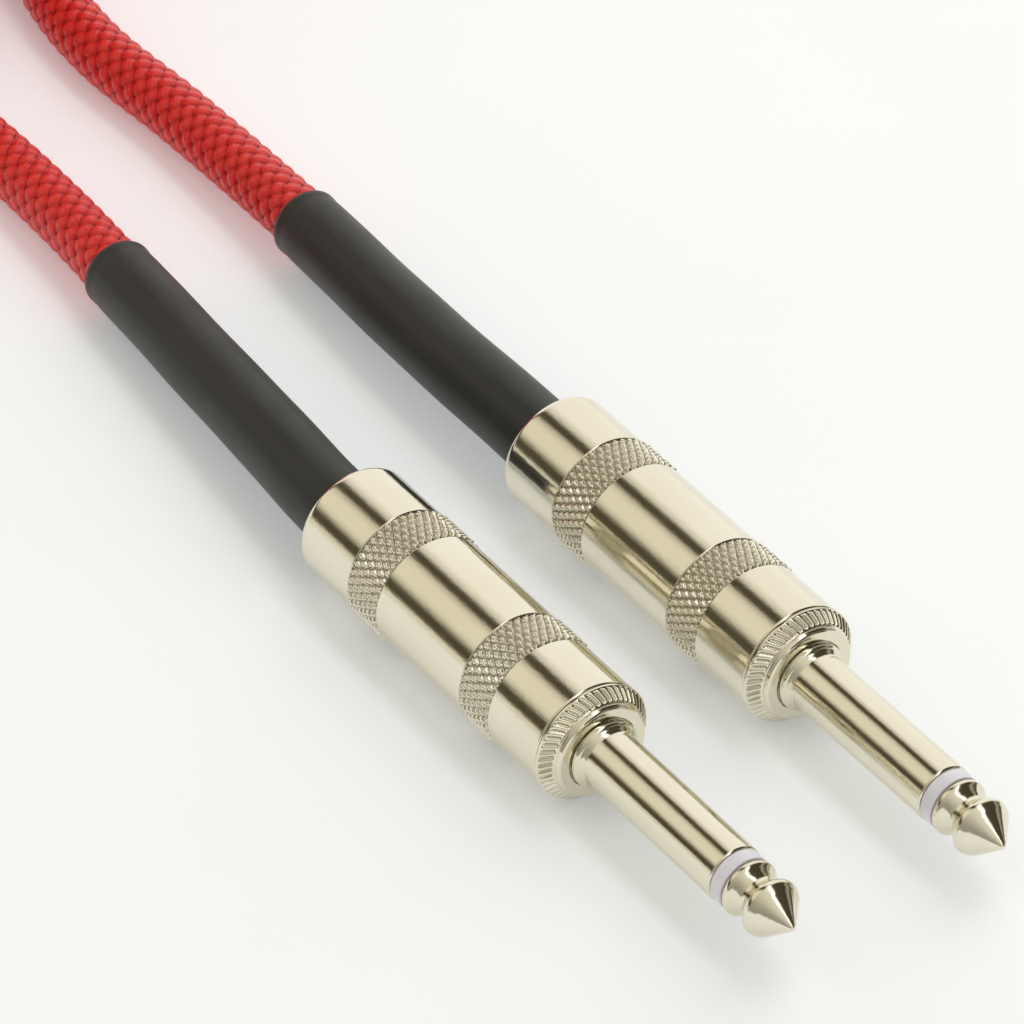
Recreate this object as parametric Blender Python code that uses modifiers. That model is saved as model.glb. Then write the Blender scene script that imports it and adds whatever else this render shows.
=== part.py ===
"""Instrument cable: two straight quarter-inch plugs on one braided lead, with its spare length folded in a tied hank.

Each plug is drawn along its own axis: `along` is the distance from the point of its tip towards the cable.
The tips point to -Y, the cable leaves to +Y, and the knurled bands of both handles rest on z = 0.
"""

import math

import bmesh
import bpy
from mathutils import Matrix, Vector

MM = 0.001
GAP = 0.1  # between pieces that touch on the real plug
FACE_GAP = 0.3  # between the cord's solids and what they meet
OVERSHOOT = 1.2  # how far a cutter runs past what it cuts

# Where the plugs lie
PLUG_SPACING = 23.37
TIP_A_Y = -61.62
TIP_B_Y = -63.92
HANDLE_R = 6.55
KNURL_R = 6.7
AXIS_Z = KNURL_R

# Signal pin
PIN_R = 3.175
TIP_LAND_FROM = 3.3
TIP_LAND_TO = 4.1
NECK_AT = 5.5
NECK_R = 2.1
TIP_FLANGE_TO = 7.6
ROD_R = 1.15
SHAFT_FROM = 9.35
SHAFT_BORE_R = 2.15
TUBE_R = 2.0
TUBE_BORE_R = ROD_R + GAP
BEAD_FROM = 29.7
BEAD_R = 3.85

# Collar that the handle screws onto
FACE_AT = 31.0
FACE_R = 4.95
TEETH_FROM = 31.7
TEETH_R = 5.4
RIM_R = 6.58
RIM_FROM = 32.8
RIM_TO = 33.05
THREAD_R = 5.4
COLLAR_TO = 40.5
SPIGOT_R = 3.6
COLLAR_BORE_R = 3.7
RECESS_TO = 31.4  # the face is recessed round the bead
RECESS_R = BEAD_R + GAP

# Terminals behind the collar
GROUND_FROM = COLLAR_TO + GAP
PLATE_THICK = 0.5
GROUND_RING_R = 5.0
WASHER_FROM = GROUND_FROM + PLATE_THICK + GAP
WASHER_THICK = 1.0
WASHER_R = 4.1
LUG_FROM = WASHER_FROM + WASHER_THICK + GAP
LUG_R = 3.3
TONGUE_TO = 51.0
TONGUE_WIDE = 2.6
TONGUE_TOP = -LUG_R + 0.05
STRIP_WIDE = 4.0
STRIP_DOWN = 4.3
STRIP_TO = 60.2
CLAMP_TO = 66.0
CLAMP_R = 2.85
MOUTH_WIDE = 3.1

# Handle and its liner
HANDLE_FROM = 33.25
HANDLE_TO = 74.7
SHOULDER_R = 1.1
HANDLE_THREAD_R = 5.6
HANDLE_THREAD_TO = 40.3
HANDLE_BORE_R = 5.75
REAR_WALL_FROM = 72.7
REAR_HOLE_R = 4.5
BANDS = ((41.1, 46.2), (60.55, 65.75))
LINER_FROM = 41.2
LINER_TO = 72.3
LINER_R = 5.65
LINER_WALL = 0.25

# Cable ends
CABLE_R = 3.25
JACKET_R = 2.6
JACKET_FROM = 58.3
CORE_R = 1.2
CORE_FROM = 55.0
COVER_FROM = 67.2
COVER_WALL = 0.5
SHRINK_FROM = 69.0
SHRINK_R = 4.25
SHRINK_END_R = 3.98
SHRINK_WALL = 0.5
SHRINK_TO_A = 125.1
SHRINK_TO_B = 123.1

# Spare cable: a hank of long turns, two side by side in each layer, lying on its tie.
# Both leads come out under the front of the upper layers.
HANK_X = 4.0
HANK_FRONT = 148.25
HANK_RUN = 70.0
HANK_R = 22.75
HANK_PINCH = 6.75
HANK_HALF_WIDE = 6.5
HANK_LAYERS = 5
HANK_LAYER_RISE = 6.5
HANK_FLOOR = 1.1
HANK_PARTS = 14  # straight parts of the outline, in each leg and each bend
LEAD_SHORT = 0.8  # a lead's solid ends this far before the hank's
LEAD_SPACE_WIDE = 120.0
LEAD_SPACE_LONG = 60.0
TIE_HALF_LONG = 8.0
TIE_THICK = 1.0
TIE_CORNER_R = 0.1
CORD_STEP = 7.0

TURN_STEPS = 24
HANDLE_STEPS = 32

# Centre line of the cable behind each plug, as (right of the plug's axis, along, height above the floor).
# The last point of each is where it joins the hank.
ROUTE_A = (
    (0.0, 58.0, 6.7),
    (0.0, 70.0, 6.7),
    (0.0, 80.0, 6.7),
    (0.9, 90.5, 6.52),
    (1.95, 103.0, 6.0),
    (3.05, 114.5, 5.45),
    (4.15, 126.0, 4.8),
    (5.1, 137.0, 4.25),
    (5.6, 151.0, 3.65),
    (5.0, 165.0, 3.35),
    (2.76, 176.2, 3.3),
    (-2.65, 187.4, 3.35),
    (-8.06, 198.6, 3.85),
    (-10.315, 209.87, 4.35),
)
ROUTE_B = (
    (0.0, 58.0, 6.7),
    (-0.05, 70.0, 6.7),
    (-0.05, 82.0, 6.68),
    (0.1, 96.0, 6.38),
    (0.75, 109.0, 5.85),
    (1.75, 123.0, 5.1),
    (2.3, 136.0, 4.32),
    (2.4, 150.0, 3.75),
    (1.9, 164.0, 3.45),
    (3.35, 176.0, 3.3),
    (6.86, 188.1, 3.35),
    (10.36, 200.1, 3.85),
    (11.815, 212.17, 4.35),
)


def clear_scene():
    for obj in list(bpy.data.objects):
        bpy.data.objects.remove(obj, do_unlink=True)


def new_collection(name, hidden=False):
    group = bpy.data.collections.new(name)
    bpy.context.scene.collection.children.link(group)
    group.hide_render = hidden
    return group


def new_material(name, colour, roughness, metallic=0.0):
    material = bpy.data.materials.new(name)
    material.use_nodes = True
    shader = material.node_tree.nodes["Principled BSDF"]
    shader.inputs["Base Color"].default_value = (*colour, 1.0)
    shader.inputs["Roughness"].default_value = roughness
    shader.inputs["Metallic"].default_value = metallic
    return material


def add_object(name, mesh, material, parent=None, group=None):
    obj = bpy.data.objects.new(name, mesh)
    (group or PARTS).objects.link(obj)
    if material:
        mesh.materials.append(material)
    obj.parent = parent
    return obj


def plug_frame(name, x, tip_y):
    """An empty on a plug's axis at its tip. Its local Z runs along the plug and its local Y points down."""
    empty = bpy.data.objects.new(name, None)
    PARTS.objects.link(empty)
    empty.location = (x * MM, tip_y * MM, AXIS_Z * MM)
    empty.rotation_euler = (-math.pi / 2, 0, 0)
    empty.empty_display_size = 0.01
    return empty


def turned(name, outline, material, parent=None, steps=TURN_STEPS, closed=True, group=None):
    """A turned piece. The outline holds (along, radius) in mm: front to rear outside, then back inside."""
    bm = bmesh.new()
    points = [bm.verts.new((radius * MM, 0, along * MM)) for along, radius in reversed(outline)]
    for first, second in zip(points, points[1:]):
        bm.edges.new((first, second))
    if closed:
        bm.edges.new((points[-1], points[0]))
    mesh = bpy.data.meshes.new(name)
    bm.to_mesh(mesh)
    bm.free()
    obj = add_object(name, mesh, material, parent, group)
    screw = obj.modifiers.new("Turn", "SCREW")
    screw.axis = "Z"
    screw.steps = steps
    screw.render_steps = steps
    screw.use_merge_vertices = True
    screw.merge_threshold = 0.00001
    screw.use_smooth_shade = True
    return obj


def arc(along, radius, size, start, end, points=5):
    """Points on a round edge about (along, radius). Angles in degrees: 0 is outwards, 90 is to the rear."""
    angles = [math.radians(start + (end - start) * i / (points - 1)) for i in range(points)]
    return [(along + size * math.sin(a), radius + size * math.cos(a)) for a in angles]


def across(width):
    return (-width / 2, width / 2)


def box(name, x, down, along, material=None, parent=None, group=None):
    """A block from its limits in mm. In a plug's frame they run to the right, downwards and along the plug."""
    bm = bmesh.new()
    size = [limits[1] - limits[0] for limits in (x, down, along)]
    middle = [sum(limits) / 2 for limits in (x, down, along)]
    place = Matrix.Translation(Vector(middle) * MM) @ Matrix.Diagonal((*[s * MM for s in size], 1.0))
    bmesh.ops.create_cube(bm, size=1.0, matrix=place)
    mesh = bpy.data.meshes.new(name)
    bm.to_mesh(mesh)
    bm.free()
    return add_object(name, mesh, material, parent, group)


def join(base, other, operation="UNION"):
    modifier = base.modifiers.new(operation.title(), "BOOLEAN")
    modifier.operation = operation
    modifier.object = other
    other.display_type = "WIRE"
    other.hide_render = True


def smooth_points(route, spacing):
    """Points about `spacing` apart on the smooth curve through a route's own points."""
    knots = [Vector(point) for point in route]
    knots = [2 * knots[0] - knots[1], *knots, 2 * knots[-1] - knots[-2]]
    found = []
    for a, b, c, d in zip(knots, knots[1:], knots[2:], knots[3:]):
        parts = max(1, round((c - b).length / spacing))
        for i in range(parts):
            t = i / parts
            tangent_b, tangent_c = (c - a) / 2, (d - b) / 2
            found.append(
                b * (2 * t**3 - 3 * t**2 + 1)
                + tangent_b * (t**3 - 2 * t**2 + t)
                + c * (3 * t**2 - 2 * t**3)
                + tangent_c * (t**3 - t**2)
            )
    return [*found, knots[-2]]


def stretch(points, start, end):
    """The part of a line of points between two distances along Y, with its ends cut to them."""
    inside = [p for p in points if start + 0.5 < p.y < end - 0.5]
    return [at_along(points, start), *inside, at_along(points, end)]


def at_along(points, along):
    for first, second in zip(points, points[1:]):
        if first.y <= along <= second.y:
            return first.lerp(second, (along - first.y) / (second.y - first.y))
    return points[-1]


def tube_curve(name, points, radius, sides, capped, end_radius=None):
    """A tube about the points, in mm. Its radius may change evenly from one end to the other."""
    curve = bpy.data.curves.new(name, "CURVE")
    curve.dimensions = "3D"
    curve.bevel_depth = radius * MM
    curve.bevel_resolution = sides // 2 - 2
    curve.use_fill_caps = capped
    spline = curve.splines.new("POLY")
    spline.points.add(len(points) - 1)
    taper = (end_radius or radius) / radius - 1
    for i, (point, target) in enumerate(zip(points, spline.points)):
        target.co = (*(point * MM), 1.0)
        target.radius = 1 + taper * i / (len(points) - 1)
    return curve


def tube(name, points, radius, material, sides=12, parent=None):
    return add_object(name, tube_curve(name, points, radius, sides, True), material, parent)


def hollow_tube(name, points, radius, wall, material, sides=12, end_radius=None):
    """A tube open at both ends: an open skin given a wall inwards."""
    curve = tube_curve(name, points, radius, sides, False, end_radius)
    helper = bpy.data.objects.new(name + "_line", curve)
    PARTS.objects.link(helper)
    bpy.context.view_layer.update()
    mesh = bpy.data.meshes.new_from_object(helper.evaluated_get(bpy.context.evaluated_depsgraph_get()))
    bpy.data.objects.remove(helper, do_unlink=True)
    obj = add_object(name, mesh, material)
    solid = obj.modifiers.new("Wall", "SOLIDIFY")
    solid.thickness = wall * MM
    solid.offset = -1
    solid.use_even_offset = True
    return obj


def make_tip(plug, frame):
    """Tip contact and centre rod, one turned piece whose rear end is riveted over the lug."""
    rivet_from = LUG_FROM + PLATE_THICK + GAP
    outline = [
        (0.0, 0.0),
        (0.06, 0.22),
        (0.3, 0.45),
        (2.65, 2.72),
        (2.95, 2.98),
        *arc((TIP_LAND_FROM + TIP_LAND_TO) / 2, PIN_R - 0.8, 0.8, -30, 45, 4),
        (4.75, 2.5),
        (5.1, 2.18),
        (NECK_AT, NECK_R),
        (5.95, 2.2),
        (6.3, 2.55),
        *arc(7.05, PIN_R - 0.65, 0.6, -45, 45, 4),
        (TIP_FLANGE_TO, 2.7),
        (TIP_FLANGE_TO, ROD_R),
        (rivet_from, ROD_R),
        (rivet_from, 2.0),
        (rivet_from + 0.45, 1.9),
        (rivet_from + 0.8, 1.2),
        (rivet_from + 0.8, 0.0),
    ]
    return turned(f"{plug}_tip", outline, NICKEL, frame, closed=False)


def make_tip_ring(plug, frame):
    """White insulating ring between tip and shaft, with a neck that centres it in the shaft."""
    outline = [
        (TIP_FLANGE_TO + GAP, TUBE_BORE_R),
        (TIP_FLANGE_TO + GAP, PIN_R - 0.12),
        (SHAFT_FROM - GAP, PIN_R - 0.12),
        (SHAFT_FROM - GAP, TUBE_R),
        (SHAFT_FROM + 2.4, TUBE_R),
        (SHAFT_FROM + 2.4, TUBE_BORE_R),
    ]
    return turned(f"{plug}_tip_ring", outline, WHITE_PLASTIC, frame)


def make_rod_tube(plug, frame):
    start, end = SHAFT_FROM + 2.5, GROUND_FROM + PLATE_THICK
    outline = [(start, TUBE_BORE_R), (start, TUBE_R), (end, TUBE_R), (end, TUBE_BORE_R)]
    return turned(f"{plug}_rod_tube", outline, WHITE_PLASTIC, frame)


def make_shaft(plug, frame):
    """Sleeve contact: the long pin wall, the bead at its base and the spigot held in the collar."""
    outline = [
        (SHAFT_FROM, SHAFT_BORE_R),
        (SHAFT_FROM, PIN_R - 0.12),
        (SHAFT_FROM + 0.15, PIN_R),
        (BEAD_FROM, PIN_R),
        (BEAD_FROM + 0.25, PIN_R + 0.3),
        (BEAD_FROM + 0.6, BEAD_R - 0.15),
        (BEAD_FROM + 0.9, BEAD_R),
        (RECESS_TO - GAP, BEAD_R),
        (RECESS_TO - GAP, SPIGOT_R),
        (COLLAR_TO - 1.2, SPIGOT_R),
        (COLLAR_TO - 1.2, SHAFT_BORE_R),
    ]
    return turned(f"{plug}_shaft", outline, NICKEL, frame)


def make_collar(plug, frame):
    """Collar: flat bearing face, bevel that carries the serrations, thin rim, thread's cylinder."""
    outline = [
        (RECESS_TO, COLLAR_BORE_R),
        (RECESS_TO, RECESS_R),
        (FACE_AT, RECESS_R),
        (FACE_AT, FACE_R),
        (FACE_AT + 0.15, FACE_R + 0.25),
        (TEETH_FROM, TEETH_R),
        (RIM_FROM, RIM_R),
        (RIM_TO, RIM_R),
        (RIM_TO, THREAD_R),
        (COLLAR_TO - 0.3, THREAD_R),
        (COLLAR_TO, THREAD_R - 0.3),
        (COLLAR_TO, COLLAR_BORE_R),
    ]
    return turned(f"{plug}_collar", outline, NICKEL, frame, HANDLE_STEPS)


def make_ground_terminal(plug, frame):
    """Sleeve terminal: ring against the collar, strip along the cable, fingers that grip its jacket."""
    plate_end = GROUND_FROM + PLATE_THICK
    hole_r = TUBE_R + 3 * GAP
    ring_front = [(GROUND_FROM, hole_r), (GROUND_FROM, GROUND_RING_R)]
    ring = [*ring_front, (plate_end, GROUND_RING_R), (plate_end, hole_r)]
    terminal = turned(f"{plug}_ground_terminal", ring, TINNED, frame)

    grip_r = CLAMP_R + PLATE_THICK
    grip = [(STRIP_TO, CLAMP_R), (STRIP_TO, grip_r), (CLAMP_TO, grip_r), (CLAMP_TO, CLAMP_R)]
    fingers = turned(f"{plug}_fingers", grip, None, frame, group=CUTTERS)
    above = (-grip_r - OVERSHOOT, 0)
    mouth_along = (STRIP_TO - OVERSHOOT, CLAMP_TO + OVERSHOOT)
    mouth = box(f"{plug}_mouth", across(MOUTH_WIDE), above, mouth_along, None, frame, CUTTERS)
    join(fingers, mouth, "DIFFERENCE")

    strip_end = STRIP_TO + 2
    strip_down = (STRIP_DOWN, STRIP_DOWN + PLATE_THICK)
    strip_along = (GROUND_FROM + GAP, strip_end)
    strip = box(f"{plug}_strip", across(STRIP_WIDE), strip_down, strip_along, None, frame, CUTTERS)
    riser_down = (CLAMP_R + PLATE_THICK / 2, strip_down[1] - GAP)
    riser_along = (strip_end - 1.5, strip_end - 0.5)
    riser = box(f"{plug}_riser", across(MOUTH_WIDE), riser_down, riser_along, None, frame, CUTTERS)
    for piece in (strip, riser, fingers):
        join(terminal, piece)
    return terminal


def make_washer(plug, frame):
    start, end = WASHER_FROM, WASHER_FROM + WASHER_THICK
    outline = [(start, TUBE_BORE_R), (start, WASHER_R), (end, WASHER_R), (end, TUBE_BORE_R)]
    return turned(f"{plug}_washer", outline, FIBRE, frame)


def make_tip_lug(plug, frame):
    """Tip terminal: ring on the rod with a tongue bent back along the top."""
    end = LUG_FROM + PLATE_THICK
    ring = [(LUG_FROM, TUBE_BORE_R), (LUG_FROM, LUG_R), (end, LUG_R), (end, TUBE_BORE_R)]
    lug = turned(f"{plug}_tip_lug", ring, TINNED, frame)
    down = (TONGUE_TOP, TONGUE_TOP + PLATE_THICK)
    along = (LUG_FROM + GAP, TONGUE_TO)
    join(lug, box(f"{plug}_tongue", across(TONGUE_WIDE), down, along, None, frame, CUTTERS))
    return lug


def make_handle(plug, frame):
    """Screw-on handle: two knurled bands, rounded rear shoulder, threaded mouth, hole for the cable."""
    outside = [(HANDLE_FROM, HANDLE_R - 0.15), (HANDLE_FROM + 0.15, HANDLE_R)]
    for start, end in BANDS:
        outside += [(start, HANDLE_R), (start, KNURL_R), (end, KNURL_R), (end, HANDLE_R)]
    outside += arc(HANDLE_TO - SHOULDER_R, HANDLE_R - SHOULDER_R, SHOULDER_R, 0, 90)
    inside = [
        (HANDLE_TO, REAR_HOLE_R),
        (REAR_WALL_FROM, REAR_HOLE_R),
        (REAR_WALL_FROM, HANDLE_BORE_R),
        (HANDLE_THREAD_TO, HANDLE_BORE_R),
        (HANDLE_THREAD_TO, HANDLE_THREAD_R),
        (HANDLE_FROM, HANDLE_THREAD_R),
    ]
    return turned(f"{plug}_handle", outside + inside, NICKEL, frame, HANDLE_STEPS)


def make_liner(plug, frame):
    """Insulating tube that lines the handle."""
    bore = LINER_R - LINER_WALL
    outline = [(LINER_FROM, bore), (LINER_FROM, LINER_R), (LINER_TO, LINER_R), (LINER_TO, bore)]
    return turned(f"{plug}_liner", outline, LINER_PAPER, frame)


def make_solder(name, frame, along, down, size, upward):
    """A dome of solder on a plate; `upward` tells which side of the plate it stands on."""
    bm = bmesh.new()
    bmesh.ops.create_uvsphere(bm, u_segments=8, v_segments=6, radius=size * MM)
    half = bm.verts[:] + bm.edges[:] + bm.faces[:]
    cut = bmesh.ops.bisect_plane(bm, geom=half, plane_co=(0, 0, 0), plane_no=(0, 1, 0), clear_outer=True)
    edges = [item for item in cut["geom_cut"] if isinstance(item, bmesh.types.BMEdge)]
    bmesh.ops.contextual_create(bm, geom=edges)
    bmesh.ops.recalc_face_normals(bm, faces=bm.faces)
    mesh = bpy.data.meshes.new(name)
    bm.to_mesh(mesh)
    bm.free()
    obj = add_object(name, mesh, SOLDER, frame)
    obj.location = (0, down * MM, along * MM)
    if not upward:
        obj.rotation_euler = (math.pi, 0, 0)
    return obj


def make_inner_wires(plug, frame):
    """Bared core, centre conductor, twisted screen and the solder on both terminals."""
    core = [(CORE_FROM, 0.0), (CORE_FROM, CORE_R), (JACKET_FROM - GAP, CORE_R), (JACKET_FROM - GAP, 0.0)]
    turned(f"{plug}_core", core, CLEAR_PLASTIC, frame, 16, closed=False)
    joint_at = TONGUE_TO - 1.8
    tongue_under = TONGUE_TOP + PLATE_THICK
    make_solder(f"{plug}_tip_solder", frame, joint_at, tongue_under + GAP, 1.0, False)
    make_solder(f"{plug}_ground_solder", frame, joint_at, STRIP_DOWN - GAP, 1.0, True)
    wire = [(0, 0, CORE_FROM - GAP), (0, -0.1, 53.8), (0, -0.8, 52.4), (0, -1.3, 51.2), (0, -1.5, 50.4)]
    tube(f"{plug}_conductor", [Vector(p) for p in wire], 0.4, COPPER, 8, frame)
    screen = [(0, 1.9, JACKET_FROM - GAP), (0, 2.2, 55.8), (0, 2.9, 53.6), (0, 3.3, 51.9), (0, 3.4, 50.8)]
    tube(f"{plug}_screen", [Vector(p) for p in screen], 0.5, COPPER, 8, frame)


def cable_line(x, tip_y, route):
    """The cable's centre line behind one plug, in mm in the model's frame."""
    placed = [(x + right, tip_y + along, height) for right, along, height in route]
    return smooth_points(placed, CORD_STEP)


def make_cable_end(plug, x, tip_y, route, shrink_to):
    """What the plug holds of the cable: jacket, braided cover and the heat-shrink over both."""
    line = cable_line(x, tip_y, route)
    end = tip_y + shrink_to
    tube(f"{plug}_jacket", stretch(line, tip_y + JACKET_FROM, end), JACKET_R, JACKET, 12)
    cover = stretch(line, tip_y + COVER_FROM, end)
    hollow_tube(f"{plug}_cover", cover, CABLE_R, COVER_WALL, BRAID, 12)
    shrink = stretch(line, tip_y + SHRINK_FROM, end)
    hollow_tube(f"{plug}_shrink", shrink, SHRINK_R, SHRINK_WALL, SHRINK, 20, SHRINK_END_R)


def make_cord(name, x, tip_y, route, shrink_to):
    line = cable_line(x, tip_y, route)
    start, end = tip_y + shrink_to + FACE_GAP, HANK_FRONT - LEAD_SHORT
    tube(name, stretch(line, start, end), CABLE_R, BRAID, 12)


def ring_solid(name, inner, outer, material):
    """A closed band between two contours. Each contour is a pair of equal rings of points, low and high."""
    bm = bmesh.new()
    rings = [[bm.verts.new(Vector(point) * MM) for point in ring] for ring in (*outer, *reversed(inner))]
    for ring, following in zip(rings, [*rings[1:], rings[0]]):
        for i in range(len(ring)):
            j = (i + 1) % len(ring)
            bm.faces.new((ring[i], ring[j], following[j], following[i]))
    bmesh.ops.recalc_face_normals(bm, faces=bm.faces)
    mesh = bpy.data.meshes.new(name)
    bm.to_mesh(mesh)
    bm.free()
    return add_object(name, mesh, material)


def hank_half_width(along):
    """Distance from the hank's middle line to the middle of a leg, less under the tie."""
    away = abs(along - HANK_RUN / 2)
    share = max(0.0, min(1.0, (away - TIE_HALF_LONG) / (HANK_RUN / 2 - TIE_HALF_LONG)))
    return HANK_R - HANK_PINCH * (1 + math.cos(math.pi * share)) / 2


def hank_contour(offset):
    """The hank's plan line, moved outwards by `offset`."""
    legs = [HANK_RUN * i / HANK_PARTS for i in range(1, HANK_PARTS)]
    turns = [math.pi * i / HANK_PARTS for i in range(HANK_PARTS + 1)]
    radius = HANK_R + offset
    plan = [(-hank_half_width(along) - offset, along) for along in legs]
    plan += [(-radius * math.cos(a), HANK_RUN + radius * math.sin(a)) for a in turns]
    plan += [(hank_half_width(along) + offset, along) for along in reversed(legs)]
    plan += [(radius * math.cos(a), -radius * math.sin(a)) for a in turns]
    return [(HANK_X + x, HANK_FRONT + y) for x, y in plan]


def make_hank():
    """The outer shape of the folded turns, open under its front for the two leads."""
    bottom, top = HANK_FLOOR, HANK_FLOOR + HANK_LAYERS * HANK_LAYER_RISE
    sides = []
    for offset in (-HANK_HALF_WIDE, HANK_HALF_WIDE):
        contour = hank_contour(offset)
        sides.append([[(x, y, z) for x, y in contour] for z in (bottom, top)])
    hank = ring_solid("cord_hank", *sides, BRAID)
    space_end = HANK_FRONT + FACE_GAP
    lead_space = box(
        "lead_space",
        (HANK_X - LEAD_SPACE_WIDE / 2, HANK_X + LEAD_SPACE_WIDE / 2),
        (space_end - LEAD_SPACE_LONG, space_end),
        (bottom - HANK_LAYER_RISE, bottom + HANK_LAYER_RISE),
        group=CUTTERS,
    )
    join(hank, lead_space, "DIFFERENCE")
    return hank


def rounded_box(half_wide, bottom, top, corner, parts=4):
    """A ring of (across, up) points round a box with round corners."""
    middles = [
        (half_wide - corner, top - corner, 0),
        (-half_wide + corner, top - corner, 90),
        (-half_wide + corner, bottom + corner, 180),
        (half_wide - corner, bottom + corner, 270),
    ]
    found = []
    for across_at, up_at, start in middles:
        for i in range(parts + 1):
            angle = math.radians(start + 90 * i / parts)
            found.append((across_at + corner * math.cos(angle), up_at + corner * math.sin(angle)))
    return found


def make_tie():
    """Strap round the middle of the hank."""
    half_wide = hank_half_width(HANK_RUN / 2) + HANK_HALF_WIDE + 2 * GAP
    bottom = TIE_THICK
    top = HANK_FLOOR + HANK_LAYERS * HANK_LAYER_RISE + GAP
    middle = HANK_FRONT + HANK_RUN / 2
    sides = []
    for extra, corner in ((0.0, TIE_CORNER_R), (TIE_THICK, TIE_CORNER_R + TIE_THICK)):
        outline = rounded_box(half_wide + extra, bottom - extra, top + extra, corner)
        ends = (middle - TIE_HALF_LONG + GAP, middle + TIE_HALF_LONG - GAP)
        sides.append([[(HANK_X + x, y, z) for x, z in outline] for y in ends])
    return ring_solid("hank_tie", *sides, STRAP)


def make_plug(plug, x, tip_y, route, shrink_to):
    frame = plug_frame(f"{plug}_axis", x, tip_y)
    for make in (
        make_tip,
        make_tip_ring,
        make_rod_tube,
        make_shaft,
        make_collar,
        make_ground_terminal,
        make_washer,
        make_tip_lug,
        make_handle,
        make_liner,
        make_inner_wires,
    ):
        make(plug, frame)
    make_cable_end(plug, x, tip_y, route, shrink_to)


clear_scene()
PARTS = new_collection("instrument_cable")
CUTTERS = new_collection("cutters", hidden=True)
NICKEL = new_material("nickel", (0.80, 0.76, 0.66), 0.16, 1.0)
WHITE_PLASTIC = new_material("white_plastic", (0.82, 0.81, 0.84), 0.4)
FIBRE = new_material("fibre", (0.36, 0.20, 0.11), 0.7)
TINNED = new_material("tinned_brass", (0.74, 0.73, 0.70), 0.35, 1.0)
SOLDER = new_material("solder", (0.66, 0.67, 0.69), 0.3, 1.0)
COPPER = new_material("copper", (0.72, 0.40, 0.26), 0.35, 1.0)
LINER_PAPER = new_material("liner", (0.07, 0.07, 0.07), 0.6)
CLEAR_PLASTIC = new_material("core_plastic", (0.85, 0.84, 0.80), 0.35)
JACKET = new_material("jacket", (0.03, 0.03, 0.03), 0.6)
BRAID = new_material("braid", (0.62, 0.03, 0.05), 0.6)
STRAP = new_material("strap", (0.02, 0.02, 0.022), 0.8)
SHRINK = new_material("heat_shrink", (0.03, 0.03, 0.032), 0.55)

make_plug("plug_a", -PLUG_SPACING / 2, TIP_A_Y, ROUTE_A, SHRINK_TO_A)
make_plug("plug_b", PLUG_SPACING / 2, TIP_B_Y, ROUTE_B, SHRINK_TO_B)
make_cord("cord_a", -PLUG_SPACING / 2, TIP_A_Y, ROUTE_A, SHRINK_TO_A)
make_cord("cord_b", PLUG_SPACING / 2, TIP_B_Y, ROUTE_B, SHRINK_TO_B)
make_hank()
make_tie()
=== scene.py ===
"""Instrument cable: two straight plugs side by side, joined by a braided cable folded in a tied hank.

Lengths are in millimetres unless a name says otherwise. A plug's own measures run along it from its tip.
"""

import math

import bpy
import numpy as np
from mathutils import Matrix, Vector


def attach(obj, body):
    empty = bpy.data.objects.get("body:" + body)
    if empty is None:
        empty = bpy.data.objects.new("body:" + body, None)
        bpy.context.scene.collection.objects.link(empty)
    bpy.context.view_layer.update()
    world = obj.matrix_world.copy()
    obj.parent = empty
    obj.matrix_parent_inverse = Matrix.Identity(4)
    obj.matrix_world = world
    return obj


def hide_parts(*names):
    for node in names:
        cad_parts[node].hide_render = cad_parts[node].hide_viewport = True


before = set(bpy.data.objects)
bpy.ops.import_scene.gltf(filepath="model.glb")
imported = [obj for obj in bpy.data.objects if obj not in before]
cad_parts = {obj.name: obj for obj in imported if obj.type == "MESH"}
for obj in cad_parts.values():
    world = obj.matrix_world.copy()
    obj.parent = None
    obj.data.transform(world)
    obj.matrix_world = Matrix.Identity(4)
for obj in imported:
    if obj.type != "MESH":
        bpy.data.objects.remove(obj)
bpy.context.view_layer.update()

MM = 0.001
TURN = 2 * math.pi

# Camera, in the row frame
CAMERA_AT = (-307.59, -438.83, 447.44)
CAMERA_RIGHT = (0.81929, -0.57337, -0.00095)
CAMERA_UP = (0.36272, 0.51702, 0.77532)
CAMERA_LENS = 242.27

# Plugs: distance across, place of the tip, height of the axis
PLUGS = {"plug_a": (-11.685, -61.62), "plug_b": (11.685, -63.92)}
AXIS_Z = 6.7

# Signal pin
PIN_R = 3.175
NECK_AT = 5.5
NECK_R = 2.1
TIP_FLANGE_TO = 7.6
ROD_R = 1.15
RIVET_FROM = 42.9
SHAFT_FROM = 9.35
SHAFT_BORE_R = 2.15
TUBE_R = 2.0
TUBE_BORE_R = 1.25
BEAD_FROM = 29.7
BEAD_R = 3.85

# Collar
FACE_AT = 31.0
FACE_R = 4.95
RECESS_TO = 31.4
RECESS_R = 3.95
TEETH_FROM = 31.7
TEETH_R = 5.4
RIM_R = 6.58
RIM_FROM = 32.8
RIM_TO = 33.05
THREAD_R = 5.4
THREAD_PITCH = 25.4 / 24
COLLAR_TO = 40.5
SPIGOT_R = 3.6
COLLAR_BORE_R = 3.7
TEETH = 48
STEPS_PER_TOOTH = 8

# Handle
HANDLE_FROM = 33.25
HANDLE_TO = 74.7
HANDLE_R = 6.55
SHOULDER_R = 1.1
HANDLE_THREAD_R = 5.6
HANDLE_THREAD_TO = 40.3
HANDLE_BORE_R = 5.75
REAR_WALL_FROM = 72.7
REAR_HOLE_R = 4.5
BANDS = ((41.1, 46.2), (60.55, 65.75))
KNURLS = 42
KNURL_PITCH = 1.65
STEPS_PER_KNURL = 9

# Heat-shrink sleeves
SHRINK_FROM = 69.0
SHRINK_R = 4.25
SHRINK_END_R = 3.98
SHRINK_WALL = 0.5
SHRINK_TO = {"plug_a": 125.1, "plug_b": 123.1}

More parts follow.
